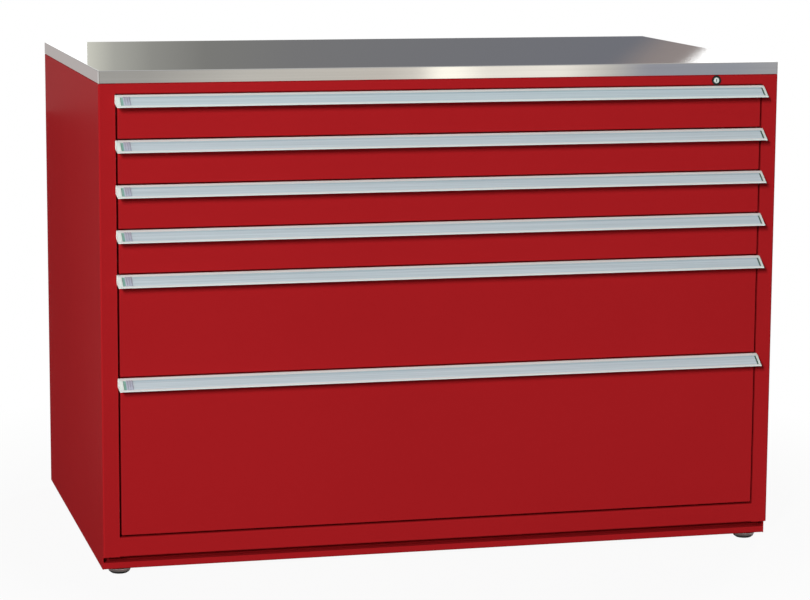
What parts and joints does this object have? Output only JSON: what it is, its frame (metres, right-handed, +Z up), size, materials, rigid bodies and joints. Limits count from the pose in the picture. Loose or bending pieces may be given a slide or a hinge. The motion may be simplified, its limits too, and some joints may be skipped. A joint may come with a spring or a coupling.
{
  "type": "drawer cabinet",
  "caption": "Wide low cabinet of red sheet steel with a stainless worktop, full-width drawers of several heights on two-stage runners, sloped aluminium grips, a cylinder lock and round feet.",
  "frame": {"origin": "on the floor, in the middle of the footprint including the drawer handles", "axes": "+X to the right across the front, +Y from the front to the back, +Z up"},
  "size_m": [1.193, 0.753, 0.856],
  "materials": {
    "red_paint": "satin powder coat",
    "stainless": "brushed along the length",
    "board": "raw particle board",
    "aluminium": "matt anodised",
    "cap_plastic": "fine texture",
    "label": "clear cover over blank paper",
    "tray_paint": "smooth light grey",
    "zinc_steel": "bright zinc plate",
    "foot_plastic": "black moulded",
    "lock_ring": "dark nickel",
    "lock_face": "bright nickel"
  },
  "bodies": {
    "housing": {"side_panel_left": "red_paint", "side_panel_right": "red_paint", "back_panel": "red_paint", "top_panel": "red_paint", "floor_panel": "red_paint", "top_rail": "red_paint", "bottom_rail": "red_paint", "base_strip": "red_paint", "upright_front_left": "zinc_steel", "upright_front_right": "zinc_steel", "upright_rear_left": "zinc_steel", "upright_rear_right": "zinc_steel", "housing_rails_left": "zinc_steel", "housing_rails_right": "zinc_steel", "worktop_skin": "stainless", "worktop_core": "board", "foot_pads": "foot_plastic", "foot_spindles": "zinc_steel", "foot_brackets": "zinc_steel", "lock_barrel": "lock_ring"},
    "lock": {"lock_plug": "lock_face", "lock_cam": "zinc_steel"},
    "lock_link": {"lock_link": "zinc_steel"},
    "lock_bar": {"lock_bar": "zinc_steel"},
    "drawer_1": {"front_1": "red_paint", "tray_1": "tray_paint", "handle_1": "aluminium", "handle_caps_1": "cap_plastic", "label_1": "label"},
    "carriage_1": {"carriage_1": "zinc_steel"},
    "drawer_2": {"front_2": "red_paint", "tray_2": "tray_paint", "handle_2": "aluminium", "handle_caps_2": "cap_plastic", "label_2": "label"},
    "carriage_2": {"carriage_2": "zinc_steel"},
    "drawer_3": {"front_3": "red_paint", "tray_3": "tray_paint", "handle_3": "aluminium", "handle_caps_3": "cap_plastic", "label_3": "label"},
    "carriage_3": {"carriage_3": "zinc_steel"},
    "drawer_4": {"front_4": "red_paint", "tray_4": "tray_paint", "handle_4": "aluminium", "handle_caps_4": "cap_plastic", "label_4": "label"},
    "carriage_4": {"carriage_4": "zinc_steel"},
    "drawer_5": {"front_5": "red_paint", "tray_5": "tray_paint", "handle_5": "aluminium", "handle_caps_5": "cap_plastic", "label_5": "label"},
    "carriage_5": {"carriage_5": "zinc_steel"},
    "drawer_6": {"front_6": "red_paint", "tray_6": "tray_paint", "handle_6": "aluminium", "handle_caps_6": "cap_plastic", "label_6": "label"},
    "carriage_6": {"carriage_6": "zinc_steel"}
  },
  "joints": [
    {"name": "lock_turn", "type": "hinge", "parent": "housing", "child": "lock", "pos_m": [0.4825, -0.3485, 0.8255], "axis": [0, -1, 0], "range_deg": [0, 90]},
    {"name": "lock_link_slide", "type": "slide", "parent": "housing", "child": "lock_link", "axis": [1, 0, 0], "range_m": [0, 0.012]},
    {"name": "lock_bar_slide", "type": "slide", "parent": "housing", "child": "lock_bar", "axis": [0, 0, 1], "range_m": [0, 0.012]},
    {"name": "drawer_1_slide", "type": "slide", "parent": "housing", "child": "drawer_1", "axis": [0, -1, 0], "range_m": [0, 0.612]},
    {"name": "carriage_1_slide", "type": "slide", "parent": "housing", "child": "carriage_1", "axis": [0, -1, 0], "range_m": [0, 0.306]},
    {"name": "drawer_2_slide", "type": "slide", "parent": "housing", "child": "drawer_2", "axis": [0, -1, 0], "range_m": [0, 0.612]},
    {"name": "carriage_2_slide", "type": "slide", "parent": "housing", "child": "carriage_2", "axis": [0, -1, 0], "range_m": [0, 0.306]},
    {"name": "drawer_3_slide", "type": "slide", "parent": "housing", "child": "drawer_3", "axis": [0, -1, 0], "range_m": [0, 0.612]},
    {"name": "carriage_3_slide", "type": "slide", "parent": "housing", "child": "carriage_3", "axis": [0, -1, 0], "range_m": [0, 0.306]},
    {"name": "drawer_4_slide", "type": "slide", "parent": "housing", "child": "drawer_4", "axis": [0, -1, 0], "range_m": [0, 0.612]},
    {"name": "carriage_4_slide", "type": "slide", "parent": "housing", "child": "carriage_4", "axis": [0, -1, 0], "range_m": [0, 0.306]},
    {"name": "drawer_5_slide", "type": "slide", "parent": "housing", "child": "drawer_5", "axis": [0, -1, 0], "range_m": [0, 0.612]},
    {"name": "carriage_5_slide", "type": "slide", "parent": "housing", "child": "carriage_5", "axis": [0, -1, 0], "range_m": [0, 0.306]},
    {"name": "drawer_6_slide", "type": "slide", "parent": "housing", "child": "drawer_6", "axis": [0, -1, 0], "range_m": [0, 0.612]},
    {"name": "carriage_6_slide", "type": "slide", "parent": "housing", "child": "carriage_6", "axis": [0, -1, 0], "range_m": [0, 0.306]}
  ],
  "couplings": [
    {"joint": "lock_turn", "follows": "lock_bar_slide", "rad_per_m": 130.89},
    {"joint": "lock_link_slide", "follows": "lock_bar_slide", "ratio": 1},
    {"joint": "carriage_1_slide", "follows": "drawer_1_slide", "ratio": 0.5},
    {"joint": "carriage_2_slide", "follows": "drawer_2_slide", "ratio": 0.5},
    {"joint": "carriage_3_slide", "follows": "drawer_3_slide", "ratio": 0.5},
    {"joint": "carriage_4_slide", "follows": "drawer_4_slide", "ratio": 0.5},
    {"joint": "carriage_5_slide", "follows": "drawer_5_slide", "ratio": 0.5},
    {"joint": "carriage_6_slide", "follows": "drawer_6_slide", "ratio": 0.5}
  ]
}
